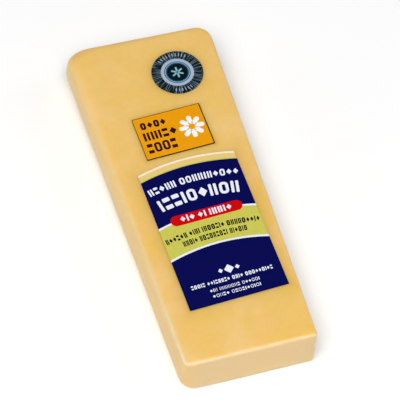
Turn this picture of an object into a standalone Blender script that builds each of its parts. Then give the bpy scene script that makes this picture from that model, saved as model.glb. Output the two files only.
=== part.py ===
"""Cheddar block: a long cut of cheese, wrapped skin tight, with its front label,
a small badge label and a round foil seal lying on the top face.

Metres, +Z up. The origin is the middle of the base, and +Y runs along the block
towards the end that carries the seal.
"""

import math

import bmesh
import bpy
from mathutils import Matrix, Vector

# The block: height, and its plan corners counter-clockwise from the near left one.
# It is a little wider at the far end, and that end isn't cut quite square.
BLOCK_HEIGHT = 0.0220
NEAR_WIDTH = 0.05525
FAR_WIDTH = 0.0644
LEFT_LENGTH = 0.1627
RIGHT_LENGTH = 0.1596
NEAR_END_SLANT = 0.0011
CORNER_NAMES = ("near_left", "near_right", "far_right", "far_left")

# How each corner is rounded in plan, at the base and at the top face. The near end is
# a fresh, crisp cut, and the far left corner is worn round, most of all near the top.
BASE_CORNER_RADIUS = {"near_left": 0.0065, "near_right": 0.0010, "far_right": 0.0071, "far_left": 0.0049}
TOP_CORNER_RADIUS = {"near_left": 0.0027, "near_right": 0.0010, "far_right": 0.0071, "far_left": 0.0125}

# How a corner's radius goes over from the one to the other: 1 is evenly with height,
# and a higher power leaves most of the change to the upper part
CORNER_GROWTH = {"near_left": 1, "near_right": 1, "far_right": 1, "far_left": 4}

# The rounding along the top edge and the base edge: how far in, and how far up or down
TOP_EDGE_INSET = {"near_left": 0.0011, "near_right": 0.0011, "far_right": 0.0025, "far_left": 0.0052}
TOP_EDGE_DROP = {"near_left": 0.0011, "near_right": 0.0011, "far_right": 0.0025, "far_left": 0.0058}
BASE_EDGE_INSET = {"near_left": 0.0012, "near_right": 0.0010, "far_right": 0.0015, "far_left": 0.0043}
BASE_EDGE_RISE = {"near_left": 0.0012, "near_right": 0.0010, "far_right": 0.0015, "far_left": 0.0095}

# No ring of the block turns a corner tighter than this
LEAST_CORNER_RADIUS = 0.0005

# The long cut faces swell outwards a very little between the corners
SIDE_SWELL = {"near_left": 0.00005, "near_right": 0.00007, "far_right": 0.00003, "far_left": 0.00007}

CORNER_STEPS = 7
SIDE_STEPS = 11
EDGE_STEPS = 5
WALL_STEPS = 3

# Labels: thin sheets that rest on the top face with a small gap, all turned alike
LABEL_TURN = math.radians(1.43)
LABEL_GAP = 0.0003
LABEL_THICKNESS = 0.0003

# Front label, measured from the middle of its straight bottom edge
FRONT_PLACE = (0.0029, -0.0568)
FRONT_WIDTH = 0.0422
FRONT_COLUMNS = 24
# Each band ends in an arc: its crown above the bottom edge, how far the arc drops
# to the sides, and the band's material
FRONT_BANDS = (
    (0.0274, 0.0036, "navy_print"),
    (0.0288, 0.0035, "white_print"),
    (0.0422, 0.0029, "green_print"),
    (0.0430, 0.0029, "white_print"),
    (0.0661, 0.0027, "navy_print"),
    (0.0691, 0.0027, "clear_straw_print"),
    (0.0701, 0.0027, "white_print"),
)

# Badge label, a plain rectangle with a dark border, measured to its middle
BADGE_PLACE = (0.0008, 0.0273)
BADGE_SIZE = (0.0299, 0.0214)
BADGE_BORDER = 0.0004

# Foil seal: a disc with concentric rings, outermost first
SEAL_PLACE = (0.0115, 0.0561)
SEAL_RADIUS = 0.0111
SEAL_SIDES = 64
SEAL_RINGS = (
    (0.0072, "silver_foil"),
    (0.0057, "blue_foil"),
    (0.0047, "dark_foil"),
)

# Materials: sRGB colour, roughness and metallic value
MATERIALS = {
    "cheddar": ("E8C47C", 0.42, 0.0),
    "navy_print": ("060C50", 0.30, 0.0),
    "white_print": ("E4E6F0", 0.35, 0.0),
    "green_print": ("CBD25A", 0.35, 0.0),
    "clear_straw_print": ("E2C872", 0.30, 0.0),
    "orange_print": ("EFA50C", 0.30, 0.0),
    "brown_print": ("5A2A10", 0.35, 0.0),
    "dark_foil": ("101A26", 0.28, 0.6),
    "silver_foil": ("BDB9CC", 0.30, 0.7),
    "blue_foil": ("1C4A66", 0.28, 0.7),
}


def clear_scene():
    """Start from an empty scene."""
    for scene_object in list(bpy.data.objects):
        bpy.data.objects.remove(scene_object, do_unlink=True)


def linear(channel):
    """One sRGB channel, 0 to 1, as linear light."""
    if channel <= 0.04045:
        return channel / 12.92
    return ((channel + 0.055) / 1.055) ** 2.4


def material(name):
    """The named material, made once and shared after that."""
    if name in bpy.data.materials:
        return bpy.data.materials[name]
    code, roughness, metallic = MATERIALS[name]
    made = bpy.data.materials.new(name)
    made.use_nodes = True
    shader = made.node_tree.nodes["Principled BSDF"]
    channels = [linear(int(code[i:i + 2], 16) / 255) for i in (0, 2, 4)]
    shader.inputs["Base Color"].default_value = (*channels, 1.0)
    shader.inputs["Roughness"].default_value = roughness
    shader.inputs["Metallic"].default_value = metallic
    made.diffuse_color = (*channels, 1.0)
    return made


def add_object(name, mesh_data, material_names, parent, location):
    """Finish a bmesh as a named object with its materials, and place it."""
    bmesh.ops.recalc_face_normals(mesh_data, faces=mesh_data.faces)
    mesh = bpy.data.meshes.new(name)
    mesh_data.to_mesh(mesh)
    mesh_data.free()
    for material_name in material_names:
        mesh.materials.append(material(material_name))
    made = bpy.data.objects.new(name, mesh)
    bpy.context.scene.collection.objects.link(made)
    made.parent = parent
    made.location = location
    return made


def add_empty(name, parent, location):
    """An empty that carries the pieces of one place."""
    made = bpy.data.objects.new(name, None)
    bpy.context.scene.collection.objects.link(made)
    made.parent = parent
    made.location = location
    return made


def block_corners():
    """The four sharp plan corners, counter-clockwise from the near left one."""
    near_left = Vector((-NEAR_WIDTH / 2, -LEFT_LENGTH / 2 + NEAR_END_SLANT / 2))
    near_right = Vector((NEAR_WIDTH / 2, -LEFT_LENGTH / 2 - NEAR_END_SLANT / 2))
    far_right = Vector((FAR_WIDTH / 2, near_right.y + RIGHT_LENGTH))
    far_left = Vector((-FAR_WIDTH / 2, near_left.y + LEFT_LENGTH))
    return [near_left, near_right, far_right, far_left]


def outward(start, end):
    """The outward direction of the side that runs from one corner to the next."""
    run = (end - start).normalized()
    return Vector((run.y, -run.x))


def inset_corners(insets):
    """The sharp plan corners, each moved in from both of its sides by its own inset."""
    corners = block_corners()
    moved = []
    for index, name in enumerate(CORNER_NAMES):
        corner = corners[index]
        first = outward(corners[index - 1], corner)
        second = outward(corner, corners[(index + 1) % 4])
        moved.append(corner - (first + second) / (1 + first.dot(second)) * insets[name])
    return moved


def corner_arc(before, corner, after, radius):
    """Points round one plan corner, each with its outward direction."""
    first_normal = outward(before, corner)
    turn = first_normal.angle_signed(outward(corner, after)) * -1
    run = (corner - before).normalized()
    centre = corner - run * radius * math.tan(turn / 2) - first_normal * radius
    points = []
    for step in range(CORNER_STEPS + 1):
        normal = Matrix.Rotation(turn * step / CORNER_STEPS, 2) @ first_normal
        points.append((centre + normal * radius, normal))
    return points


def blend(first, second, share):
    """A value between two others."""
    return first + (second - first) * share


def corner_radius(name, height):
    """One corner's radius in plan, at a height above the base."""
    share = height / BLOCK_HEIGHT
    return blend(BASE_CORNER_RADIUS[name], TOP_CORNER_RADIUS[name], share ** CORNER_GROWTH[name])


def block_ring(insets, heights):
    """One closed ring round the block, as points in space."""
    corners = inset_corners(insets)
    arcs = []
    for index, name in enumerate(CORNER_NAMES):
        radius = max(corner_radius(name, heights[name]) - insets[name], LEAST_CORNER_RADIUS)
        arcs.append(corner_arc(corners[index - 1], corners[index], corners[(index + 1) % 4], radius))
    ring = []
    for index, name in enumerate(CORNER_NAMES):
        following = (index + 1) % 4
        for point, normal in arcs[index]:
            ring.append(Vector((point.x, point.y, heights[name])))
        start, normal = arcs[index][-1]
        end = arcs[following][0][0]
        for step in range(1, SIDE_STEPS):
            share = step / SIDE_STEPS
            point = start.lerp(end, share) + normal * SIDE_SWELL[name] * math.sin(math.pi * share)
            height = blend(heights[name], heights[CORNER_NAMES[following]], share)
            ring.append(Vector((point.x, point.y, height)))
    return ring


def block_rings():
    """The block's rings: round the base edge, up the wall, and over the top edge."""
    rings = []
    for step in range(EDGE_STEPS + 1):
        angle = math.pi / 2 * step / EDGE_STEPS
        insets = {name: BASE_EDGE_INSET[name] * (1 - math.sin(angle)) for name in CORNER_NAMES}
        heights = {name: BASE_EDGE_RISE[name] * (1 - math.cos(angle)) for name in CORNER_NAMES}
        rings.append(block_ring(insets, heights))
    for step in range(1, WALL_STEPS):
        insets = {name: 0.0 for name in CORNER_NAMES}
        heights = {}
        for name in CORNER_NAMES:
            heights[name] = blend(BASE_EDGE_RISE[name], BLOCK_HEIGHT - TOP_EDGE_DROP[name], step / WALL_STEPS)
        rings.append(block_ring(insets, heights))
    for step in range(EDGE_STEPS + 1):
        angle = math.pi / 2 * step / EDGE_STEPS
        insets = {name: TOP_EDGE_INSET[name] * (1 - math.cos(angle)) for name in CORNER_NAMES}
        heights = {name: BLOCK_HEIGHT - TOP_EDGE_DROP[name] * (1 - math.sin(angle)) for name in CORNER_NAMES}
        rings.append(block_ring(insets, heights))
    return rings


def block_middle():
    """The middle of the block's box in plan, which becomes the origin."""
    points = [point for ring in block_rings() for point in ring]
    xs = [point.x for point in points]
    ys = [point.y for point in points]
    return Vector(((min(xs) + max(xs)) / 2, (min(ys) + max(ys)) / 2))


def make_cheese(parent):
    """The block: its rings bridged from the base face up, and closed."""
    mesh_data = bmesh.new()
    rings = []
    for ring in block_rings():
        rings.append([mesh_data.verts.new(point) for point in ring])
    count = len(rings[0])
    for lower, upper in zip(rings, rings[1:]):
        for index in range(count):
            following = (index + 1) % count
            mesh_data.faces.new((lower[index], lower[following], upper[following], upper[index]))
    mesh_data.faces.new(rings[0])
    mesh_data.faces.new(rings[-1])
    cheese = add_object("cheese_block", mesh_data, ("cheddar",), parent, (0.0, 0.0, 0.0))
    cheese.data.shade_smooth()
    cheese.data.set_sharp_from_angle(angle=math.radians(40))


def thicken(mesh_data):
    """Give a flat sheet its thickness, upwards."""
    extruded = bmesh.ops.extrude_face_region(mesh_data, geom=mesh_data.faces[:])
    raised = [item for item in extruded["geom"] if isinstance(item, bmesh.types.BMVert)]
    bmesh.ops.translate(mesh_data, verts=raised, vec=(0.0, 0.0, LABEL_THICKNESS))


def make_front_label(parent):
    """The front label, in bands whose upper edges are arcs."""
    names = list(dict.fromkeys(band[2] for band in FRONT_BANDS))
    mesh_data = bmesh.new()
    edges = [(0.0, 0.0)] + [(crown, drop) for crown, drop, name in FRONT_BANDS]
    rows = []
    for crown, drop in edges:
        row = []
        for column in range(FRONT_COLUMNS + 1):
            across = 2 * column / FRONT_COLUMNS - 1
            row.append(mesh_data.verts.new((across * FRONT_WIDTH / 2, crown - drop * across ** 2, 0.0)))
        rows.append(row)
    for lower, upper, band in zip(rows, rows[1:], FRONT_BANDS):
        for column in range(FRONT_COLUMNS):
            face = mesh_data.faces.new((lower[column], lower[column + 1], upper[column + 1], upper[column]))
            face.material_index = names.index(band[2])
    thicken(mesh_data)
    add_object("front_label", mesh_data, names, parent, (*FRONT_PLACE, 0.0))


def make_badge_label(parent):
    """The badge label: a rectangle whose printed border is inset from its edge."""
    mesh_data = bmesh.new()
    bmesh.ops.create_grid(mesh_data, x_segments=1, y_segments=1, size=0.5)
    bmesh.ops.scale(mesh_data, verts=mesh_data.verts[:], vec=(*BADGE_SIZE, 1.0))
    thicken(mesh_data)
    top = max(mesh_data.faces, key=lambda face: face.calc_center_median().z)
    bmesh.ops.inset_individual(mesh_data, faces=[top], thickness=BADGE_BORDER)
    for face in mesh_data.faces:
        face.material_index = 1
    top.material_index = 0
    add_object("badge_label", mesh_data, ("orange_print", "brown_print"), parent, (*BADGE_PLACE, 0.0))


def make_foil_seal(parent):
    """The round seal: a disc whose top is inset into its rings."""
    names = ["dark_foil", "silver_foil", "blue_foil"]
    mesh_data = bmesh.new()
    bmesh.ops.create_circle(mesh_data, cap_ends=True, segments=SEAL_SIDES, radius=SEAL_RADIUS)
    thicken(mesh_data)
    centre = max(mesh_data.faces, key=lambda face: face.calc_center_median().z)
    radius = SEAL_RADIUS
    for ring_radius, name in SEAL_RINGS:
        # The inset is measured square to the disc's straight sides
        step = (radius - ring_radius) * math.cos(math.pi / SEAL_SIDES)
        bmesh.ops.inset_individual(mesh_data, faces=[centre], thickness=step)
        centre.material_index = names.index(name)
        radius = ring_radius
    add_object("foil_seal", mesh_data, names, parent, (*SEAL_PLACE, 0.0))


def main():
    clear_scene()
    middle = block_middle()
    block_axes = add_empty("block_axes", None, (-middle.x, -middle.y, 0.0))
    make_cheese(block_axes)
    label_axes = add_empty("label_axes", block_axes, (0.0, 0.0, BLOCK_HEIGHT + LABEL_GAP))
    for make_label in (make_front_label, make_badge_label, make_foil_seal):
        make_label(label_axes)
    for label in label_axes.children:
        label.rotation_euler = (0.0, 0.0, LABEL_TURN)


main()
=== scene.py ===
"""The looks of a bar of cheddar in its skin-tight clear wrap.

Laid out as an add-on: settings, one operator for each piece or group of like
pieces, one for the stage, and a panel that lists them. It is run as a script.
"""

import math
import random

import bpy
from mathutils import Matrix, Vector


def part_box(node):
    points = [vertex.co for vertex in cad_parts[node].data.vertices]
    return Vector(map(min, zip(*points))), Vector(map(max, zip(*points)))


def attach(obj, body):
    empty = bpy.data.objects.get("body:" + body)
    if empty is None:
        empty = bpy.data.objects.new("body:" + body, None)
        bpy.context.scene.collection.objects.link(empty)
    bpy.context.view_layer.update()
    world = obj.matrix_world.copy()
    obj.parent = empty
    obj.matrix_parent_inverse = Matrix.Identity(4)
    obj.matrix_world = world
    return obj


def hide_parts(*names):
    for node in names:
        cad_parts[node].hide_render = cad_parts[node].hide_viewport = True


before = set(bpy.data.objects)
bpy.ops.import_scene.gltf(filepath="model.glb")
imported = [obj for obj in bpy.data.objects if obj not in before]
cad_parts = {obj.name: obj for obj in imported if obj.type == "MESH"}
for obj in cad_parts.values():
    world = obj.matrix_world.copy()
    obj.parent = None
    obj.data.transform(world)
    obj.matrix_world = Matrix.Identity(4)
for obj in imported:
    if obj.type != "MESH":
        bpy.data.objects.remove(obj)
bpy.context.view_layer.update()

bl_info = {
    "name": "Wrapped cheddar bar",
    "version": (1, 0, 0),
    "blender": (4, 5, 0),
    "location": "View3D > Sidebar > Cheddar",
    "description": "Builds the finish of a wrapped cheddar bar round its solid frame",
    "category": "Object",
}

MM = 0.001

# The top face's near and left edges: the plan direction that points in from each, and
# how far along that direction the edge itself lies
NEAR_EDGE = ((0.0199, 0.9998, 0.0), -81.16 * MM)
LEFT_EDGE = ((0.9996, 0.0281, 0.0), -29.86 * MM)

# The labels are all turned alike on the block's top face
LABEL_TURN = math.radians(1.43)


# Colours and materials

def linear_colour(code):
    """An sRGB hex code as linear red, green, blue and alpha."""
    channels = []
    for start in (0, 2, 4):
        value = int(code[start:start + 2], 16) / 255
        if value <= 0.04045:
            channels.append(value / 12.92)
        else:
            channels.append(((value + 0.055) / 1.055) ** 2.4)
    return (*channels, 1.0)


def start_material(name):
    """A new material, its node tree and its shader."""
    made = bpy.data.materials.new(name)
    made.use_nodes = True
    return made, made.node_tree, made.node_tree.nodes["Principled BSDF"]


def add_node(tree, kind, settings=None, inputs=None, links=None):
    """Add a node, set its properties and its inputs, and link its inputs.

    A link comes from a socket, or from a node that stands for its first output.
    """
    node = tree.nodes.new(kind)
    for key, value in (settings or {}).items():
        setattr(node, key, value)
    for key, value in (inputs or {}).items():
        node.inputs[key].default_value = value
    for key, start in (links or {}).items():
        socket = start.outputs[0] if isinstance(start, bpy.types.Node) else start
        tree.links.new(socket, node.inputs[key])
    return node


def set_ramp(node, stops):
    """Give a colour ramp its stops, as pairs of place and hex colour."""
    ramp = node.color_ramp
    while len(ramp.elements) > 1:
        ramp.elements.remove(ramp.elements[-1])
    ramp.elements[0].position = stops[0][0]
    ramp.elements[0].color = linear_colour(stops[0][1])
    for place, code in stops[1:]:
        ramp.elements.new(place).color = linear_colour(code)


def edge_band(tree, place, edge, middle, width, near_strength, far_strength):
    """A soft line along a straight top edge, 1 on the line and 0 away from it.

    The edge is a pair as NEAR_EDGE is. The line wanders a little over about 9 mm,
    fades out from 0.7 to 2.4 mm below the top, and its strength changes from the
    near end to the far end.
    """
    direction, reach = edge
    low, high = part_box("cheese_block")
    inwards = add_node(
        tree, "ShaderNodeVectorMath", settings={"operation": "DOT_PRODUCT"}, inputs={1: direction},
        links={0: place})
    wander = add_node(
        tree, "ShaderNodeTexNoise", inputs={"Scale": 1 / (9.0 * MM), "Detail": 2.0},
        links={"Vector": place})
    # The noise lies round 0.5, so it moves the line half its share either way
    moved = add_node(
        tree, "ShaderNodeMath", settings={"operation": "MULTIPLY_ADD"},
        inputs={1: 1.2 * MM, 2: -(reach + middle + 0.6 * MM)}, links={0: wander})
    distance = add_node(
        tree, "ShaderNodeMath", settings={"operation": "ADD"},
        links={0: inwards.outputs["Value"], 1: moved})
    size = add_node(tree, "ShaderNodeMath", settings={"operation": "ABSOLUTE"}, links={0: distance})
    line = add_node(
        tree, "ShaderNodeMapRange", settings={"interpolation_type": "SMOOTHSTEP"},
        inputs={"From Max": width, "To Min": 1.0, "To Max": 0.0}, links={"Value": size})
    axes = add_node(tree, "ShaderNodeSeparateXYZ", links={"Vector": place})
    upper = add_node(
        tree, "ShaderNodeMapRange",
        inputs={"From Min": high.z - 2.4 * MM, "From Max": high.z - 0.7 * MM},
        links={"Value": axes.outputs["Z"]})
    along = add_node(
        tree, "ShaderNodeMapRange",
        inputs={"From Min": low.y, "From Max": high.y, "To Min": near_strength, "To Max": far_strength},
        links={"Value": axes.outputs["Y"]})
    held = add_node(
        tree, "ShaderNodeMath", settings={"operation": "MULTIPLY"}, links={0: line, 1: upper})
    band = add_node(
        tree, "ShaderNodeMath", settings={"operation": "MULTIPLY", "use_clamp": True},
        links={0: held, 1: along})
    return band


def cheddar_material(settings):
    """Pressed cheddar under clear film.

    The paste is softly translucent and mottled in broad warm patches with paler
    curd between, and the film over it lays a clear, slightly milky gloss on the block.
    The sides are paler, partly their own colour and partly painted reflection, and highlights on the
    crisp edges and a soft sheen along the left edge are painted into the colour.
    """
    made, tree, shader = start_material("pressed_cheddar_under_film")
    place = add_node(tree, "ShaderNodeTexCoord").outputs["Object"]

    # Broad patches, about 14 mm across
    patches = add_node(
        tree, "ShaderNodeTexNoise",
        inputs={"Scale": 1 / settings.patch_size, "Detail": 2.0, "Roughness": 0.5, "Distortion": 0.4},
        links={"Vector": place})
    # They are stronger at the near end: the noise is spread about its middle value
    low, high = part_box("cheese_block")
    axes = add_node(tree, "ShaderNodeSeparateXYZ", links={"Vector": place})
    contrast = add_node(
        tree, "ShaderNodeMapRange",
        inputs={"From Min": low.y, "From Max": high.y, "To Min": 1.5, "To Max": 0.5},
        links={"Value": axes.outputs["Y"]})
    centred = add_node(
        tree, "ShaderNodeMath", settings={"operation": "SUBTRACT"}, inputs={1: 0.5},
        links={0: patches})
    spread = add_node(
        tree, "ShaderNodeMath", settings={"operation": "MULTIPLY_ADD"}, inputs={2: 0.5},
        links={0: centred, 1: contrast})
    patch_colour = add_node(tree, "ShaderNodeValToRGB", links={"Fac": spread})
    set_ramp(patch_colour, (
        (0.32, settings.pale_colour),
        (0.50, settings.paste_colour),
        (0.68, settings.rich_colour),
    ))

    # Curd grain, about 3 mm, a slight change of depth
    curd = add_node(
        tree, "ShaderNodeTexNoise",
        inputs={"Scale": 1 / settings.curd_size, "Detail": 3.0, "Roughness": 0.55},
        links={"Vector": place})
    curd_shade = add_node(tree, "ShaderNodeValToRGB", links={"Fac": curd})
    set_ramp(curd_shade, ((0.30, "FBFBFB"), (0.70, "FFFFFF")))
    paste = add_node(
        tree, "ShaderNodeMix", settings={"data_type": "RGBA", "blend_type": "MULTIPLY"},
        inputs={"Factor": 1.0}, links={"A": patch_colour, "B": curd_shade})

    # The sides are paler: partly the paler cut paste under the film, partly painted reflection of the
    # white surroundings at a grazing angle
    side = add_node(tree, "ShaderNodeAttribute", settings={"attribute_name": "pale_side_and_sheen"})
    with_sides = add_node(
        tree, "ShaderNodeMix", settings={"data_type": "RGBA"},
        inputs={"B": linear_colour(settings.pale_side_and_sheen_colour)},
        links={"Factor": side.outputs["Fac"], "A": paste.outputs["Result"]})

    # Painted highlights: a crisp pale line along the near end and the near part of the
    # left edge, and a broad soft painted sheen along the whole left edge
    near_edge_highlight = edge_band(
        tree, place, NEAR_EDGE, middle=0.6 * MM, width=1.1 * MM, near_strength=1.0, far_strength=1.0)
    left_edge_highlight = edge_band(
        tree, place, LEFT_EDGE, middle=0.5 * MM, width=1.1 * MM, near_strength=1.3, far_strength=-4.0)
    left_sheen = edge_band(
        tree, place, LEFT_EDGE, middle=0.6 * MM, width=3.0 * MM, near_strength=1.0, far_strength=0.7)
    corner = add_node(tree, "ShaderNodeAttribute", settings={"attribute_name": "near_corner"})
    top_edge_highlights = add_node(
        tree, "ShaderNodeMath", settings={"operation": "MAXIMUM"}, links={0: near_edge_highlight, 1: left_edge_highlight})
    crisp = add_node(
        tree, "ShaderNodeMath", settings={"operation": "MAXIMUM"},
        links={0: top_edge_highlights, 1: corner.outputs["Fac"]})
    # The painted highlight lines are broken up by a noise of about 4 mm
    breaks = add_node(
        tree, "ShaderNodeTexNoise", inputs={"Scale": 1 / (4.0 * MM), "Detail": 2.0},
        links={"Vector": place})
    break_range = add_node(
        tree, "ShaderNodeMapRange", inputs={"From Min": 0.38, "From Max": 0.56, "To Min": 0.5},
        links={"Value": breaks})
    broken_highlights = add_node(
        tree, "ShaderNodeMath", settings={"operation": "MULTIPLY"}, links={0: crisp, 1: break_range})
    # Painted sheen: the broad pale streak inside the left edge stands for light on the rounded edge
    with_left_sheen = add_node(
        tree, "ShaderNodeMix", settings={"data_type": "RGBA"},
        inputs={"B": linear_colour(settings.left_sheen_colour)},
        links={"Factor": left_sheen, "A": with_sides.outputs["Result"]})
    # Painted highlight: the pale colour on the crisp edges stands for the film's gloss
    colour = add_node(
        tree, "ShaderNodeMix", settings={"data_type": "RGBA"},
        inputs={"B": linear_colour(settings.edge_highlight_colour)},
        links={"Factor": broken_highlights, "A": with_left_sheen.outputs["Result"]})
    # The cheese is a little darker and warmer round each label
    round_labels = add_node(tree, "ShaderNodeAttribute", settings={"attribute_name": "label_shade"})
    shaded = add_node(
        tree, "ShaderNodeMix", settings={"data_type": "RGBA", "blend_type": "MULTIPLY"},
        inputs={"B": linear_colour(settings.shade_colour)},
        links={"Factor": round_labels.outputs["Fac"], "A": colour.outputs["Result"]})
    tree.links.new(shaded.outputs["Result"], shader.inputs["Base Color"])

    # Light runs deep in the paste, but hardly at all along the painted highlight lines
    depth = add_node(
        tree, "ShaderNodeMapRange", inputs={"To Min": settings.scatter, "To Max": 0.1},
        links={"Value": broken_highlights})
    tree.links.new(depth.outputs["Result"], shader.inputs["Subsurface Weight"])

    # Film lies not quite flat: slow ripples of about 9 mm
    ripples = add_node(
        tree, "ShaderNodeTexNoise", inputs={"Scale": 1 / (9.0 * MM), "Detail": 1.0},
        links={"Vector": place})
    bump = add_node(
        tree, "ShaderNodeBump", inputs={"Strength": 0.2, "Distance": 0.3 * MM},
        links={"Height": ripples})
    tree.links.new(bump.outputs["Normal"], shader.inputs["Normal"])

    # The film clings to the paste, so the two share one glossy surface
    shader.inputs["Roughness"].default_value = settings.film_roughness
    shader.inputs["IOR"].default_value = 1.48
    shader.inputs["Subsurface Radius"].default_value = (1.0, 0.6, 0.25)
    shader.inputs["Subsurface Scale"].default_value = settings.scatter_depth
    return made


def ink_material(name, code, roughness=0.25):
    """Flexographic ink on film or foil: even colour with a faint mottle, under satin varnish."""
    made, tree, shader = start_material(name)
    place = add_node(tree, "ShaderNodeTexCoord").outputs["Object"]
    # Ink mottle, drawn at 1.5 mm, coarser than the real one so that it shows at all
    mottle = add_node(
        tree, "ShaderNodeTexNoise", inputs={"Scale": 1 / (1.5 * MM), "Detail": 2.0},
        links={"Vector": place})
    shade = add_node(tree, "ShaderNodeValToRGB", links={"Fac": mottle})
    set_ramp(shade, ((0.3, "F8F8F8"), (0.7, "FFFFFF")))
    colour = add_node(
        tree, "ShaderNodeMix", settings={"data_type": "RGBA", "blend_type": "MULTIPLY"},
        inputs={"Factor": 1.0, "A": linear_colour(code)}, links={"B": shade})
    tree.links.new(colour.outputs["Result"], shader.inputs["Base Color"])
    shader.inputs["Roughness"].default_value = roughness
    shader.inputs["IOR"].default_value = 1.4
    return made


def straw_ink_material(settings):
    """Clear film with a thin wash of yellow-green ink that fades towards the white arc."""
    made, tree, shader = start_material("straw_ink_wash")
    place = add_node(tree, "ShaderNodeTexCoord").outputs["Object"]
    # Read the height on the label: turned back to the label's own axes
    own = add_node(
        tree, "ShaderNodeMapping", settings={"vector_type": "TEXTURE"},
        inputs={"Location": (*FRONT_ORIGIN, 0.0), "Rotation": (0.0, 0.0, LABEL_TURN)},
        links={"Vector": place})
    axes = add_node(tree, "ShaderNodeSeparateXYZ", links={"Vector": own})
    square = add_node(
        tree, "ShaderNodeMath", settings={"operation": "POWER"}, inputs={1: 2.0},
        links={0: axes.outputs["X"]})
    # The arc drops by its share of the square of the distance from the middle
    drop = ARC_DROP / (FRONT_WIDTH / 2) ** 2
    height = add_node(
        tree, "ShaderNodeMath", settings={"operation": "MULTIPLY_ADD"}, inputs={1: drop},
        links={0: square, 2: axes.outputs["Y"]})
    share = add_node(
        tree, "ShaderNodeMapRange", inputs={"From Min": PANEL_CROWN, "From Max": ARC_CROWN - ARC_LINE},
        links={"Value": height})
    wash = add_node(tree, "ShaderNodeValToRGB", links={"Fac": share})
    set_ramp(wash, (
        (0.0, settings.straw_colour),
        (0.16, settings.straw_fade_colour),
        (0.30, settings.wash_colour),
    ))
    tree.links.new(wash.outputs["Color"], shader.inputs["Base Color"])
    shader.inputs["Roughness"].default_value = 0.4
    shader.inputs["Subsurface Weight"].default_value = 0.2
    shader.inputs["Subsurface Scale"].default_value = 2.0 * MM
    shader.inputs["Coat Weight"].default_value = 0.8
    shader.inputs["Coat Roughness"].default_value = 0.25
    return made


def foil_ray_material(settings, centre):
    """Embossed foil: fine rays run out from the middle, and the light they catch one by one is painted
    as bright rays on the dark ground.
    """
    made, tree, shader = start_material("embossed_ray_foil")
    place = add_node(tree, "ShaderNodeTexCoord").outputs["Object"]
    own = add_node(
        tree, "ShaderNodeMapping", settings={"vector_type": "TEXTURE"},
        inputs={"Location": (*centre, 0.0)}, links={"Vector": place})
    axes = add_node(tree, "ShaderNodeSeparateXYZ", links={"Vector": own})
    angle = add_node(
        tree, "ShaderNodeMath", settings={"operation": "ARCTAN2"},
        links={0: axes.outputs["Y"], 1: axes.outputs["X"]})
    radius = add_node(tree, "ShaderNodeVectorMath", settings={"operation": "LENGTH"}, links={0: own})
    # Rays about 0.5 mm wide at the rim: this many changes for each radian
    around = add_node(
        tree, "ShaderNodeMath", settings={"operation": "MULTIPLY"}, inputs={1: settings.streaks},
        links={0: angle})
    outward = add_node(
        tree, "ShaderNodeMath", settings={"operation": "MULTIPLY"}, inputs={1: 1 / (4.0 * MM)},
        links={0: radius.outputs["Value"]})
    spread = add_node(tree, "ShaderNodeCombineXYZ", links={"X": around, "Y": outward})
    rays = add_node(
        tree, "ShaderNodeTexNoise", settings={"noise_dimensions": "2D"},
        inputs={"Scale": 1.0, "Detail": 1.0}, links={"Vector": spread})
    colour = add_node(tree, "ShaderNodeValToRGB", links={"Fac": rays})
    # Painted reflection: the bright rays stand for light caught by the embossed foil
    set_ramp(colour, ((0.54, settings.dark_colour), (0.66, settings.ray_glint_colour)))
    tree.links.new(colour.outputs["Color"], shader.inputs["Base Color"])
    shader.inputs["Metallic"].default_value = 0.35
    shader.inputs["Roughness"].default_value = FOIL_ROUGHNESS
    return made


# Modelling helpers

def begin():
    """Deselect everything before a new primitive is added."""
    if bpy.context.object and bpy.context.object.mode != "OBJECT":
        bpy.ops.object.mode_set(mode="OBJECT")
    bpy.ops.object.select_all(action="DESELECT")


def activate(piece):
    """Make one piece the only selected and the active one."""
    begin()
    piece.select_set(True)
    bpy.context.view_layer.objects.active = piece


def apply_modifier(piece, kind, name, **settings):
    """Add a modifier, set it and apply it."""
    activate(piece)
    modifier = piece.modifiers.new(name, kind)
    for key, value in settings.items():
        setattr(modifier, key, value)
    bpy.ops.object.modifier_apply(modifier=modifier.name)


def choose(items, kind, test):
    """In edit mode, select the active piece's points or faces that pass a test."""
    bpy.ops.object.mode_set(mode="EDIT")
    bpy.ops.mesh.select_mode(type=kind)
    bpy.ops.mesh.select_all(action="DESELECT")
    bpy.ops.object.mode_set(mode="OBJECT")
    for item in items:
        item.select = test(item)
    bpy.ops.object.mode_set(mode="EDIT")


def join(pieces, name):
    """Join pieces into the first one, under a new name."""
    begin()
    for piece in pieces:
        piece.select_set(True)
    bpy.context.view_layer.objects.active = pieces[0]
    bpy.ops.object.join()
    pieces[0].name = name
    return pieces[0]


def give_material(piece, material):
    """The piece's only material."""
    piece.data.materials.clear()
    piece.data.materials.append(material)


def lay_on_block(piece, origin, height, across=0.0, up=0.0):
    """Shift a piece on its label, turn it with the label, move it there, and apply its place."""
    turn = Matrix.Rotation(LABEL_TURN, 4, "Z")
    shift = Matrix.Translation((across, up, 0.0))
    piece.matrix_world = Matrix.Translation((origin.x, origin.y, height)) @ turn @ shift
    activate(piece)
    bpy.ops.object.transform_apply()


def start_block(name, width, height, corner):
    """A flat rectangle with round corners, centred on its own origin and left in edit mode."""
    begin()
    bpy.ops.mesh.primitive_plane_add(size=1.0)
    piece = bpy.context.object
    piece.name = name
    bpy.ops.object.mode_set(mode="EDIT")
    bpy.ops.mesh.select_all(action="SELECT")
    bpy.ops.transform.resize(value=(width, height, 1.0))
    bpy.ops.mesh.bevel(offset=corner, offset_pct=0, segments=4, affect="VERTICES")
    bpy.ops.mesh.select_all(action="SELECT")
    return piece


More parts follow.
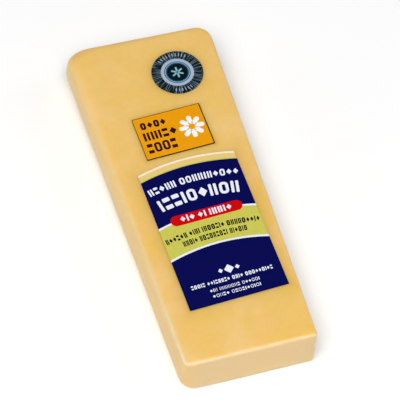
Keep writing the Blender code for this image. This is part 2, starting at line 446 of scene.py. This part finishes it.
def raise_block(thickness):
    """In edit mode, draw the flat shape up to its thickness."""
    bpy.ops.mesh.select_all(action="SELECT")
    bpy.ops.mesh.extrude_region_move(TRANSFORM_OT_translate={"value": (0.0, 0.0, thickness)})
    bpy.ops.mesh.select_all(action="SELECT")
    bpy.ops.mesh.normals_make_consistent(inside=False)
    bpy.ops.object.mode_set(mode="OBJECT")


def plain_block(name, width, height, corner, thickness):
    """A small printed block with round corners."""
    piece = start_block(name, width, height, corner)
    raise_block(thickness)
    return piece


def ring_block(name, width, height, corner, stroke, thickness):
    """A printed block whose middle is left open."""
    piece = start_block(name, width, height, corner)
    bpy.ops.mesh.inset(thickness=stroke, depth=0.0)
    bpy.ops.mesh.delete(type="FACE")
    raise_block(thickness)
    return piece


def lozenge_block(name, width, height, thickness):
    """A small square stood on its corner and drawn out to a lozenge."""
    # The square's rounded corners leave it 1.35 times its side across
    reach = 1.35 * MM
    piece = start_block(name, 1.0 * MM, 1.0 * MM, 0.08 * MM)
    bpy.ops.transform.rotate(value=math.pi / 4, orient_axis="Z")
    bpy.ops.transform.resize(value=(width / reach, height / reach, 1.0))
    raise_block(thickness)
    return piece


# Natural widths of the ornaments, as shares of their height
MARK_WIDTHS = {"ring": 0.78, "pair": 0.66, "stack": 0.62, "lozenge": 0.74, "post": 0.26}


def ornament(kind, width, height, stroke, thickness):
    """One plain ornament: a ring, two posts, two stacked bars, a lozenge or a post."""
    # Strokes never close the gap inside a narrow ornament
    stroke = min(stroke, width * 0.42)
    if kind == "ring":
        return ring_block("ornament", width, height, width * 0.42, stroke, thickness)
    if kind == "post":
        return plain_block("ornament", width, height, width * 0.3, thickness)
    if kind == "lozenge":
        return lozenge_block("ornament", width, height * 0.8, thickness)
    if kind == "pair":
        half = plain_block("ornament_half", stroke, height, stroke * 0.3, thickness)
        step = Vector(((width - stroke) / 2, 0.0, 0.0))
    else:
        half = plain_block("ornament_half", width, height * 0.34, stroke * 0.3, thickness)
        step = Vector((0.0, height * 0.33, 0.0))
    return repeat_piece(half, (Matrix.Translation(step), Matrix.Translation(-step)), "ornament")


def copy_piece(piece, name, matrix):
    """A copy with its own mesh, placed by a matrix that is applied to the mesh."""
    made = bpy.data.objects.new(name, piece.data.copy())
    bpy.context.scene.collection.objects.link(made)
    made.data.transform(matrix)
    return made


def remove_piece(piece):
    """Take a pattern piece out of the scene once it has been copied."""
    bpy.data.objects.remove(piece, do_unlink=True)


def repeat_piece(piece, places, name):
    """Copy a pattern piece to each place, and join the copies in its stead."""
    copies = [copy_piece(piece, name, place) for place in places]
    remove_piece(piece)
    return join(copies, name)


# Places on the block, read from the frame

def bottom_middle_of(node, width):
    """The middle of a turned label's bottom edge, in plan, worked out from its box."""
    low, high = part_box(node)
    # The lower right corner is the furthest right, the lower left the lowest
    return Vector((
        high.x - width / 2 * math.cos(LABEL_TURN),
        low.y + width / 2 * math.sin(LABEL_TURN),
    ))


def middle_of(node):
    """The middle of a node's box, in plan."""
    low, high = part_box(node)
    return Vector(((low.x + high.x) / 2, (low.y + high.y) / 2))


def outside(point, origin, half_run, bottom, top):
    """How far a point lies outside a label's rectangle, which is turned like the labels."""
    own = Matrix.Rotation(-LABEL_TURN, 2) @ (point.xy - origin)
    return math.hypot(max(0.0, abs(own.x) - half_run), max(0.0, bottom - own.y, own.y - top))


FRONT_WIDTH = 42.2 * MM
FRONT_ORIGIN = bottom_middle_of("front_label", FRONT_WIDTH)
BLOCK_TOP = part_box("cheese_block")[1].z

# Printed sheets are sunk a little in the soft top, and ink stands just proud of them
SHEET_DEPTH = 0.13 * MM
SHEET_THICKNESS = 0.17 * MM
INK_THICKNESS = 0.03 * MM
INK_BASE = SHEET_THICKNESS - SHEET_DEPTH - 0.01 * MM

# Front label, heights at the middle above its bottom edge, and drops of the arcs
ARC_CROWN = 70.1 * MM
ARC_LINE = 0.9 * MM
ARC_DROP = 2.75 * MM
PANEL_CROWN = 66.25 * MM
FRONT_BANDS = (
    # crown, drop, ink
    (26.65 * MM, 3.05 * MM, "navy"),
    (27.5 * MM, 2.85 * MM, "white"),
    (42.2 * MM, 3.0 * MM, "green"),
    (42.9 * MM, 2.7 * MM, "white"),
    (PANEL_CROWN, ARC_DROP, "navy"),
    (ARC_CROWN - ARC_LINE, ARC_DROP, "straw"),
    (ARC_CROWN, ARC_DROP, "cream"),
)
PILL_LENGTH = 31.0 * MM
PILL_HEIGHT = 4.95 * MM
PILL_PLACE = (0.2 * MM, 41.75 * MM)
FRONT_ROWS = (
    # name, groups, length, gap, gap of groups, height, stroke, crown and drop in mm, seed, ink,
    # layers of ink
    ("pill_marks", (3, 2, 5), (22.0, 0.6, 1.5, 3.0, 0.75, 42.0, 0.0), 11, "white", 2),
    ("small_heading", (5, 10), (39.0, 0.62, 1.9, 3.3, 0.72, 59.7, 2.5), 8, "white", 1),
    ("large_heading", (9,), (34.6, 0.95, 0.0, 5.7, 1.25, 52.1, 2.7), 5, "white", 1),
    ("green_row_1", (6, 4, 7, 9), (40.4, 0.36, 1.1, 2.6, 0.60, 34.9, 2.0), 21, "black", 1),
    ("green_row_2", (5, 9, 6), (27.4, 0.36, 1.1, 2.6, 0.60, 31.0, 1.6), 22, "black", 1),
    ("lower_row_1", (5, 8, 4, 9), (34.6, 0.36, 1.1, 1.8, 0.40, 9.7, 0.0), 23, "white", 1),
    ("lower_row_2", (3, 7, 6), (21.0, 0.36, 1.1, 1.5, 0.22, 6.2, 0.0), 24, "white", 1),
    ("lower_row_3", (5, 10), (20.4, 0.36, 1.1, 1.5, 0.22, 3.5, 0.0), 25, "white", 1),
)
LOZENGE_LEVEL = 14.0 * MM
# Place across and size of each, in mm
LOZENGES = ((-3.4, 2.0), (0.2, 4.05), (3.8, 2.0))

# Badge label, places from its middle
BADGE_WIDTH = 29.9 * MM
BADGE_HEIGHT = 21.4 * MM
BADGE_ROWS = (
    # groups, the same measures as in a front row, place across in mm, seed
    ((4,), (11.0, 0.6, 0.0, 3.6, 1.0, 6.2, 0.0), -7.0, 31),
    ((5,), (14.4, 0.6, 0.0, 4.2, 1.0, 0.7, 0.0), -5.6, 33),
    ((4,), (12.6, 0.6, 0.0, 4.8, 1.0, -5.4, 0.0), -6.6, 36),
)
DAISY_PLACE = (8.3 * MM, 0.2 * MM)
DAISY_PETALS = 8
DAISY_HEART = 3.0 * MM

# Foil seal, reaches as shares of its radius
SEAL_RINGS = ((0.64, "silver"), (0.51, "blue"), (0.475, "cyan"), (0.45, "blue"), (0.40, "dark"))
DASH_REACH = 0.83
DASH_STEP = math.radians(8.5)
# Number of dashes in each row, and the turn of the row's middle
DASH_ROWS = ((10, 0.0), (6, math.pi))
FOIL_ROUGHNESS = 0.3

# Shade of the paste round each label: width of the soft rim, strength
FRONT_RIM = (2.8 * MM, 0.65)
BADGE_RIM = (1.2 * MM, 0.7)
SEAL_RIM = (1.6 * MM, 0.7)
# The badge's rim starts just outside its sides
BADGE_RIM_START = 15.0 * MM


def row_of_marks(groups, sizes, seed, thickness, across=0.0):
    """A row of plain ornaments in groups, along an arc given by its crown and drop."""
    length, gap, group_gap, height, stroke, crown, drop = (size * MM for size in sizes)
    draw = random.Random(seed)
    kinds = [[draw.choice(list(MARK_WIDTHS)) for place in range(count)] for count in groups]
    spaces = sum(len(group) - 1 for group in kinds) * gap + (len(groups) - 1) * group_gap
    unit = (length - spaces) / sum(MARK_WIDTHS[kind] for group in kinds for kind in group)
    # Each kind is modelled once for the row and copied along it
    patterns = {}
    for kind in dict.fromkeys(kind for group in kinds for kind in group):
        patterns[kind] = ornament(kind, MARK_WIDTHS[kind] * unit, height, stroke, thickness)
    marks = []
    along = -length / 2
    for group in kinds:
        for kind in group:
            width = MARK_WIDTHS[kind] * unit
            share = (along + width / 2) / (FRONT_WIDTH / 2)
            turn = math.atan(-2 * drop * share / (FRONT_WIDTH / 2))
            place = Matrix.Translation((across + along + width / 2, crown - drop * share ** 2, 0.0))
            marks.append(copy_piece(patterns[kind], "mark", place @ Matrix.Rotation(turn, 4, "Z")))
            along += width + gap
        along += group_gap - gap
    for pattern in patterns.values():
        remove_piece(pattern)
    return marks


# Settings

def colour_setting(name, description, code):
    """A colour, as sRGB hex."""
    return bpy.props.StringProperty(name=name, description=description, default=code)


def length_setting(name, description, length):
    """A length in metres."""
    return bpy.props.FloatProperty(
        name=name, description=description, default=length, unit="LENGTH", subtype="DISTANCE")


def share_setting(name, description, share):
    """A share between 0 and 1."""
    return bpy.props.FloatProperty(
        name=name, description=description, default=share, min=0.0, max=1.0, subtype="FACTOR")


def angle_setting(name, description, degrees):
    """An angle, kept in radians."""
    return bpy.props.FloatProperty(
        name=name, description=description, default=math.radians(degrees),
        unit="ROTATION", subtype="ANGLE")


class CheeseSettings(bpy.types.PropertyGroup):
    paste_colour: colour_setting("Paste", "The cheese's main colour, as sRGB hex", "E6C070")
    pale_colour: colour_setting("Pale curd", "Paler patches of the paste", "E8C47D")
    rich_colour: colour_setting("Rich curd", "More yellow patches of the paste", "E5C067")
    # Pale sides: partly the cut paste's own colour, partly painted reflection of the white surroundings
    pale_side_and_sheen_colour: colour_setting("Cut sides", "The paler sides under the film", "E1C289")
    # Painted highlight on the crisp edges
    edge_highlight_colour: colour_setting("Painted edge highlight", "The pale line on crisp edges", "E7CCA4")
    # Painted sheen along the left edge
    left_sheen_colour: colour_setting("Left streak", "The soft streak inside the left edge", "DAC28F")
    shade_colour: colour_setting("Shade by labels", "Multiplies the paste next to a label", "EADABA")
    patch_size: length_setting("Patch size", "Width of the mottled patches", 14 * MM)
    curd_size: length_setting("Curd size", "Width of the curd grain", 3 * MM)
    grid_step: length_setting("Grid step", "Spacing of the grid that refines the surface", 0.6 * MM)
    unevenness: length_setting("Unevenness", "Depth of the slow waves in the surface", 0.25 * MM)
    film_roughness: share_setting("Film roughness", "Roughness of the clear film's gloss", 0.42)
    scatter: share_setting("Scatter", "Share of the light that passes through the paste", 0.8)
    scatter_depth: length_setting("Scatter depth", "How far red light runs in the paste", 5 * MM)


class LabelSettings(bpy.types.PropertyGroup):
    navy_colour: colour_setting("Navy ink", "The two dark panels", "00034C")
    white_colour: colour_setting("White ink", "Lines and ornaments", "E2E4F2")
    cream_colour: colour_setting("Cream ink", "The white arc, tinted by the cheese", "F2E1C8")
    green_colour: colour_setting("Green ink", "The band across the middle", "C3C053")
    red_colour: colour_setting("Red ink", "The pill", "C60004")
    black_colour: colour_setting("Black ink", "Small blocks on the green band", "141414")
    straw_colour: colour_setting("Straw ink", "The thin line on top of the navy panel", "C9BC40")
    straw_fade_colour: colour_setting("Straw fade", "The wash just above that line", "DAC65C")
    wash_colour: colour_setting("Wash", "The wash below the white arc", "EBC478")


class BadgeSettings(bpy.types.PropertyGroup):
    orange_colour: colour_setting("Orange ink", "The badge's ground", "E49806")
    brown_colour: colour_setting("Brown ink", "Border and rows", "2C1008")
    white_colour: colour_setting("White ink", "The daisy's petals", "F2F0EA")
    border: length_setting("Border", "Width of the dark border", 0.35 * MM)


class SealSettings(bpy.types.PropertyGroup):
    dark_colour: colour_setting("Dark foil", "Ground of the seal", "020D16")
    # The bright rays are painted reflection of the embossed foil
    ray_glint_colour: colour_setting("Foil rays", "The bright rays", "7F9FAC")
    silver_colour: colour_setting("Silver foil", "The broad ring", "A2AFC4")
    blue_colour: colour_setting("Blue foil", "The thin inner rings", "1D4E6C")
    cyan_colour: colour_setting("Cyan foil", "Highlights of the middle", "7FB9C4")
    streaks: bpy.props.FloatProperty(
        name="Ray count", description="Changes from dark to light for each radian", default=26.0)


class StageSettings(bpy.types.PropertyGroup):
    azimuth: angle_setting("Azimuth", "Camera's turn round the block", -21.07)
    elevation: angle_setting("Elevation", "Camera's height above the horizon", 57.53)
    roll: angle_setting("Roll", "Camera's turn about its own axis", 4.26)
    distance: length_setting("Distance", "From the camera to what it looks at", 950 * MM)
    target: bpy.props.FloatVectorProperty(
        name="Target", description="The point on the top face in the middle of the picture",
        default=(0.66 * MM, -10.35 * MM, BLOCK_TOP), subtype="TRANSLATION", unit="LENGTH")
    lens: bpy.props.FloatProperty(
        name="Lens", description="Focal length for a 36 mm tall frame, in millimetres", default=202.9)
    floor_colour: colour_setting("Floor", "The pale floor", "F4F4F4")
    sky_strength: bpy.props.FloatProperty(
        name="Sky strength", description="Strength of the white surroundings", default=0.07)


# Operators

class CHEDDAR_OT_cheese(bpy.types.Operator):
    """Model the wrapped cheese: its solid under a fine grid, made uneven and coloured"""
    bl_idname = "cheddar.cheese"
    bl_label = "Wrapped cheese"

    def execute(self, context):
        settings = context.scene.cheddar_cheese
        cheese = self.copy_of_solid()
        self.lay_grid(cheese, settings.grid_step)
        self.make_uneven(cheese, settings.unevenness)
        self.mark_surfaces(cheese)
        give_material(cheese, cheddar_material(settings))
        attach(cheese, "root")
        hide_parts("cheese_block")
        return {"FINISHED"}

    def copy_of_solid(self):
        """The solid's mesh, merged into one closed shell."""
        cheese = bpy.data.objects.new("wrapped_cheese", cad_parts["cheese_block"].data.copy())
        bpy.context.scene.collection.objects.link(cheese)
        activate(cheese)
        bpy.ops.object.mode_set(mode="EDIT")
        bpy.ops.mesh.select_all(action="SELECT")
        bpy.ops.mesh.remove_doubles(threshold=0.001 * MM)
        bpy.ops.mesh.customdata_custom_splitnormals_clear()
        bpy.ops.mesh.normals_make_consistent(inside=False)
        bpy.ops.object.mode_set(mode="OBJECT")
        return cheese

    def lay_grid(self, cheese, step):
        """Cover the whole block with one even, closed grid and take the facets out of its edges."""
        apply_modifier(cheese, "REMESH", "even_grid", mode="VOXEL", voxel_size=step, adaptivity=0.0)
        apply_modifier(cheese, "SMOOTH", "softer", factor=0.5, iterations=2)

    def make_uneven(self, cheese, depth):
        """Slow waves that only go inwards, so the cheese stays inside its solid."""
        waves = bpy.data.textures.new("cheese_waves", "CLOUDS")
        waves.noise_scale = 22 * MM
        waves.noise_depth = 1
        apply_modifier(
            cheese, "DISPLACE", "waves",
            texture=waves, texture_coords="LOCAL", strength=depth, mid_level=1.0)
        cheese.data.shade_smooth()

    def mark_surfaces(self, cheese):
        """Store what lies where on the surface, for the material to read."""
        badge = middle_of("badge_label")
        half_badge = BADGE_HEIGHT / 2
        seal = middle_of("foil_seal")
        seal_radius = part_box("foil_seal")[1].x - seal.x
        mesh = cheese.data
        # The sides' paleness is partly the paste's own colour and partly painted reflection of the
        # surroundings
        sides = mesh.attributes.new("pale_side_and_sheen", "FLOAT", "POINT")
        corner = mesh.attributes.new("near_corner", "FLOAT", "POINT")
        shade = mesh.attributes.new("label_shade", "FLOAT", "POINT")
        for vertex in mesh.vertices:
            normal = vertex.normal
            upness = max(0.0, normal.z)
            # The paleness, partly painted reflection, is weaker on the left side, which is yellower
            # than the near end
            side = 1.0 - min(1.0, upness * 1.2) ** 2
            sides.data[vertex.index].value = side * (1.0 - 0.8 * max(0.0, -normal.x))
            # A faint pale line runs down the sharp near right corner
            corner.data[vertex.index].value = 0.5 if normal.x > 0.35 and normal.y < -0.35 else 0.0
            if upness < 0.5:
                continue
            rims = (
                # distance from the label's outline, width of the rim, strength
                (outside(vertex.co, FRONT_ORIGIN, FRONT_WIDTH / 2, 0.0, PANEL_CROWN), *FRONT_RIM),
                (outside(vertex.co, badge, BADGE_RIM_START, -half_badge, half_badge), *BADGE_RIM),
                (max(0.0, (vertex.co.xy - seal).length - seal_radius), *SEAL_RIM),
            )
            shade.data[vertex.index].value = max(
                strength * math.exp(-distance / width) for distance, width, strength in rims)


class CHEDDAR_OT_front_label(bpy.types.Operator):
    """Print the front label: the banded sheet, the pill and rows of plain ornaments"""
    bl_idname = "cheddar.front_label"
    bl_label = "Front label"

    def execute(self, context):
        settings = context.scene.cheddar_label
        self.inks = {
            "cream": ink_material("thin_white_ink_over_cheese", settings.cream_colour),
            "straw": straw_ink_material(settings),
        }
        for name in ("navy", "white", "green", "red", "black"):
            code = getattr(settings, name + "_colour")
            self.inks[name] = ink_material(name + "_ink_on_film", code)
        self.make_sheet()
        self.make_pill()
        self.make_rows()
        self.make_lozenges()
        return {"FINISHED"}

    def finish_piece(self, piece, ink, place=(0.0, 0.0)):
        """Give a printed piece its ink, lay it on the sheet and let it ride."""
        give_material(piece, self.inks[ink])
        lay_on_block(piece, FRONT_ORIGIN, BLOCK_TOP + INK_BASE, *place)
        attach(piece, "root")

    def make_sheet(self):
        """A grid whose rows are bent into the arcs between the bands."""
        begin()
        rows = len(FRONT_BANDS)
        columns = 32
        bpy.ops.mesh.primitive_grid_add(x_subdivisions=columns, y_subdivisions=rows, size=1.0)
        sheet = bpy.context.object
        sheet.name = "front_label_sheet"
        bpy.ops.object.mode_set(mode="EDIT")
        bpy.ops.mesh.select_all(action="SELECT")
        bpy.ops.transform.resize(value=(FRONT_WIDTH, ARC_CROWN, 1.0))
        bpy.ops.object.mode_set(mode="OBJECT")
        # Each row's points move to their arc, the same on the left and on the right
        start = [vertex.co.copy() for vertex in sheet.data.vertices]
        near = 0.1 * MM
        edges = [(0.0, 0.0)] + [band[:2] for band in FRONT_BANDS]
        for row, (crown, drop) in enumerate(edges):
            level = ARC_CROWN * (row / rows - 0.5)
            for column in range(columns // 2 + 1):
                across = 1 - 2 * column / columns
                side = across * FRONT_WIDTH / 2
                chosen = [
                    index for index, point in enumerate(start)
                    if abs(point.y - level) < near and abs(abs(point.x) - side) < near
                ]
                choose(sheet.data.vertices, "VERT", lambda point: point.index in chosen)
                bpy.ops.transform.translate(value=(0.0, crown - drop * across ** 2 - level, 0.0))
                bpy.ops.object.mode_set(mode="OBJECT")
        names = list(dict.fromkeys(band[2] for band in FRONT_BANDS))
        for name in names:
            sheet.data.materials.append(self.inks[name])
        for face in sheet.data.polygons:
            face.material_index = names.index(FRONT_BANDS[face.index // columns][2])
        apply_modifier(sheet, "SOLIDIFY", "thickness", thickness=SHEET_THICKNESS, offset=1.0)
        lay_on_block(sheet, FRONT_ORIGIN, BLOCK_TOP - SHEET_DEPTH)
        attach(sheet, "root")
        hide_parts("front_label")

    def make_pill(self):
        """The red pill, half on the navy panel and half on the green band."""
        pill = plain_block(
            "front_label_pill", PILL_LENGTH, PILL_HEIGHT, PILL_HEIGHT * 0.499, INK_THICKNESS)
        self.finish_piece(pill, "red", PILL_PLACE)

    def make_rows(self):
        """The ornaments on the pill, two headings, and small rows on green and on navy."""
        for name, groups, sizes, seed, ink, layers in FRONT_ROWS:
            marks = row_of_marks(groups, sizes, seed, INK_THICKNESS * layers)
            self.finish_piece(join(marks, "front_label_" + name), ink)

    def make_lozenges(self):
        """Three plain lozenges over the small rows."""
        pattern = lozenge_block("lozenge", 1.0 * MM, 1.0 * MM, INK_THICKNESS)
        places = []
        for across, size in LOZENGES:
            shift = Matrix.Translation((across * MM, LOZENGE_LEVEL, 0.0))
            places.append(shift @ Matrix.Diagonal((size, size, 1.0, 1.0)))
        self.finish_piece(repeat_piece(pattern, places, "front_label_lozenges"), "white")


class CHEDDAR_OT_badge_label(bpy.types.Operator):
    """Make the badge label: an orange card with a dark border, rows of ornaments and a daisy"""
    bl_idname = "cheddar.badge_label"
    bl_label = "Badge label"

    def execute(self, context):
        settings = context.scene.cheddar_badge
        orange = ink_material("orange_ink_on_film", settings.orange_colour)
        brown = ink_material("brown_ink_on_film", settings.brown_colour)
        white = ink_material("white_badge_ink", settings.white_colour)
        origin = middle_of("badge_label")
        card = plain_block(
            "badge_card", BADGE_WIDTH, BADGE_HEIGHT, corner=0.35 * MM, thickness=SHEET_THICKNESS)
        card.data.materials.append(orange)
        card.data.materials.append(brown)
        choose(card.data.polygons, "FACE", lambda face: face.normal.z > 0.9)
        bpy.ops.mesh.inset(thickness=settings.border, depth=0.0)
        # The border is a little heavier to the right and below: the extra width there is painted shadow
        # along those edges
        bpy.ops.transform.translate(value=(-0.1 * MM, 0.1 * MM, 0.0))
        bpy.ops.object.mode_set(mode="OBJECT")
        for face in card.data.polygons:
            face.material_index = 0 if face.select else 1
        lay_on_block(card, origin, BLOCK_TOP - SHEET_DEPTH)
        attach(card, "root")
        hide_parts("badge_label")

        self.make_rows(origin, brown)
        self.make_daisy(origin, white, orange)
        return {"FINISHED"}

    def finish_piece(self, piece, ink, origin, place=(0.0, 0.0)):
        """Give a printed piece its ink, lay it on the card and let it ride."""
        give_material(piece, ink)
        lay_on_block(piece, origin, BLOCK_TOP + INK_BASE, *place)
        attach(piece, "root")

    def make_rows(self, origin, brown):
        """Three rows of dark ornaments, left of the middle."""
        marks = []
        for groups, sizes, across, seed in BADGE_ROWS:
            marks.extend(row_of_marks(groups, sizes, seed, INK_THICKNESS, across * MM))
        self.finish_piece(join(marks, "badge_rows"), brown, origin)

    def make_daisy(self, origin, white, orange):
        """A plain eight-petalled flower, right of the middle."""
        petal = plain_block(
            "petal", width=2.1 * MM, height=4.3 * MM, corner=1.0 * MM, thickness=INK_THICKNESS)
        reach = Matrix.Translation((0.0, 3.4 * MM, 0.0))
        places = []
        for index in range(DAISY_PETALS):
            places.append(Matrix.Rotation(math.tau * index / DAISY_PETALS, 4, "Z") @ reach)
        flower = repeat_piece(petal, places, "badge_daisy")
        self.finish_piece(flower, white, origin, DAISY_PLACE)
        heart = plain_block(
            "badge_daisy_heart", DAISY_HEART, DAISY_HEART, corner=1.49 * MM,
            thickness=INK_THICKNESS * 2)
        self.finish_piece(heart, orange, origin, DAISY_PLACE)


class CHEDDAR_OT_foil_seal(bpy.types.Operator):
    """Make the round foil seal: a rayed rim, rings and a plain star"""
    bl_idname = "cheddar.foil_seal"
    bl_label = "Foil seal"

    def execute(self, context):
        settings = context.scene.cheddar_seal
        origin = middle_of("foil_seal")
        low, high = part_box("foil_seal")
        radius = (high.x - low.x) / 2
        foils = {"rayed": foil_ray_material(settings, origin)}
        for name in ("silver", "blue", "cyan", "dark"):
            code = getattr(settings, name + "_colour")
            foils[name] = ink_material(name + "_ink_on_foil", code, FOIL_ROUGHNESS)
        begin()
        bpy.ops.mesh.primitive_circle_add(vertices=96, radius=radius, fill_type="NGON")
        seal = bpy.context.object
        seal.name = "foil_seal_disc"
        bpy.ops.object.mode_set(mode="EDIT")
        raise_block(SHEET_THICKNESS)
        for foil in foils.values():
            seal.data.materials.append(foil)
        choose(seal.data.polygons, "FACE", lambda face: face.normal.z > 0.9)
        # Each ring is inset from the one round it and takes its own ink
        reached = 1.0
        for share, name in SEAL_RINGS:
            bpy.ops.mesh.inset(thickness=(reached - share) * radius, depth=0.0)
            seal.active_material_index = list(foils).index(name)
            bpy.ops.object.material_slot_assign()
            reached = share
        bpy.ops.object.mode_set(mode="OBJECT")
        lay_on_block(seal, origin, BLOCK_TOP - SHEET_DEPTH)
        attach(seal, "root")
        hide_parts("foil_seal")
        self.make_star(origin, radius, foils["cyan"])
        self.make_dashes(origin, radius, foils["silver"])
        return {"FINISHED"}

    def finish_piece(self, piece, ink, origin):
        """Give a printed piece its ink, lay it on the seal and let it ride."""
        give_material(piece, ink)
        lay_on_block(piece, origin, BLOCK_TOP + INK_BASE)
        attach(piece, "root")

    def make_dashes(self, origin, radius, silver):
        """Short silver dashes on the rayed rim, a row above and a shorter one below."""
        pattern = plain_block(
            "dash", width=0.42 * MM, height=1.5 * MM, corner=0.1 * MM, thickness=INK_THICKNESS)
        reach = Matrix.Translation((0.0, radius * DASH_REACH, 0.0))
        places = []
        for number, middle in DASH_ROWS:
            for index in range(number):
                turn = middle + DASH_STEP * (index - (number - 1) / 2)
                places.append(Matrix.Rotation(turn, 4, "Z") @ reach)
        self.finish_piece(repeat_piece(pattern, places, "foil_seal_dashes"), silver, origin)

    def make_star(self, origin, radius, cyan):
        """A plain six-armed star in the middle of the seal."""
        arm = plain_block(
            "arm", width=radius * 0.07, height=radius * 0.5, corner=radius * 0.03,
            thickness=INK_THICKNESS)
        places = [Matrix.Rotation(math.pi * index / 3, 4, "Z") for index in range(3)]
        self.finish_piece(repeat_piece(arm, places, "foil_seal_star"), cyan, origin)


class CHEDDAR_OT_stage(bpy.types.Operator):
    """Set the pale floor, the soft studio light and the camera"""
    bl_idname = "cheddar.stage"
    bl_label = "Stage"

    def execute(self, context):
        settings = context.scene.cheddar_stage
        context.scene.view_settings.view_transform = "Standard"
        self.make_floor(settings)
        self.make_light(context, settings)
        self.make_camera(context, settings)
        return {"FINISHED"}

    def make_floor(self, settings):
        """A wide pale plane, a hair under the block so that the two never coincide."""
        begin()
        bpy.ops.mesh.primitive_plane_add(size=6.0, location=(0.0, 0.0, -0.02 * MM))
        floor = bpy.context.object
        floor.name = "stage_floor"
        bpy.ops.object.transform_apply()
        made, tree, shader = start_material("matt_white_paper_floor")
        shader.inputs["Base Color"].default_value = linear_colour(settings.floor_colour)
        shader.inputs["Roughness"].default_value = 0.9
        shader.inputs["Specular IOR Level"].default_value = 0.1
        give_material(floor, made)

    def make_light(self, context, settings):
        """Dim white surroundings and four soft boxes."""
        world = bpy.data.worlds.new("white_surroundings")
        world.use_nodes = True
        background = world.node_tree.nodes["Background"]
        background.inputs["Color"].default_value = (1.0, 1.0, 1.0, 1.0)
        background.inputs["Strength"].default_value = settings.sky_strength
        context.scene.world = world
        # Soft boxes: place, size in metres, power in watts. None of them lies where the
        # labels would mirror it to the camera.
        boxes = (
            ("soft_box_above", (-0.4, -0.7, 1.8), 1.5, 45.5),
            ("soft_box_front", (0.3, -1.5, 0.8), 1.0, 1.5),
            ("soft_box_left", (-1.4, 0.6, 0.4), 1.0, 4.0),
            ("soft_box_right", (1.4, -0.1, 1.0), 1.0, 5.0),
        )
        for name, place, size, power in boxes:
            begin()
            bpy.ops.object.light_add(type="AREA", location=place)
            lamp = bpy.context.object
            lamp.name = name
            lamp.data.size = size
            lamp.data.energy = power
            lamp.rotation_euler = Vector(place).to_track_quat("Z", "Y").to_euler()

    def make_camera(self, context, settings):
        """A long lens, turned round the target by azimuth, elevation and roll."""
        camera = bpy.data.objects.new("camera", bpy.data.cameras.new("camera"))
        context.scene.collection.objects.link(camera)
        camera.matrix_world = (
            Matrix.Translation(settings.target)
            @ Matrix.Rotation(settings.azimuth, 4, "Z")
            @ Matrix.Rotation(math.pi / 2 - settings.elevation, 4, "X")
            @ Matrix.Rotation(settings.roll, 4, "Z")
            @ Matrix.Translation((0.0, 0.0, settings.distance))
        )
        camera.data.lens = settings.lens
        camera.data.sensor_width = 36.0
        camera.data.clip_start = 0.01
        context.scene.camera = camera


class CHEDDAR_PT_panel(bpy.types.Panel):
    """The operators, in the order in which they build the bar"""
    bl_idname = "CHEDDAR_PT_panel"
    bl_label = "Wrapped cheddar bar"
    bl_space_type = "VIEW_3D"
    bl_region_type = "UI"
    bl_category = "Cheddar"

    def draw(self, context):
        for operator in OPERATORS:
            self.layout.operator(operator.bl_idname)


GROUPS = {
    "cheddar_cheese": CheeseSettings,
    "cheddar_label": LabelSettings,
    "cheddar_badge": BadgeSettings,
    "cheddar_seal": SealSettings,
    "cheddar_stage": StageSettings,
}
OPERATORS = (
    CHEDDAR_OT_stage,
    CHEDDAR_OT_cheese,
    CHEDDAR_OT_front_label,
    CHEDDAR_OT_badge_label,
    CHEDDAR_OT_foil_seal,
)


def register():
    """Register the settings, the operators and the panel."""
    for name, group in GROUPS.items():
        bpy.utils.register_class(group)
        setattr(bpy.types.Scene, name, bpy.props.PointerProperty(type=group))
    for operator in OPERATORS:
        bpy.utils.register_class(operator)
    bpy.utils.register_class(CHEDDAR_PT_panel)


def unregister():
    """Take all of that out again."""
    bpy.utils.unregister_class(CHEDDAR_PT_panel)
    for operator in reversed(OPERATORS):
        bpy.utils.unregister_class(operator)
    for name, group in GROUPS.items():
        delattr(bpy.types.Scene, name)
        bpy.utils.unregister_class(group)


def main():
    """Build everything, in order."""
    register()
    bpy.ops.cheddar.stage()
    bpy.ops.cheddar.cheese()
    bpy.ops.cheddar.front_label()
    bpy.ops.cheddar.badge_label()
    bpy.ops.cheddar.foil_seal()


if __name__ == "__main__":
    main()
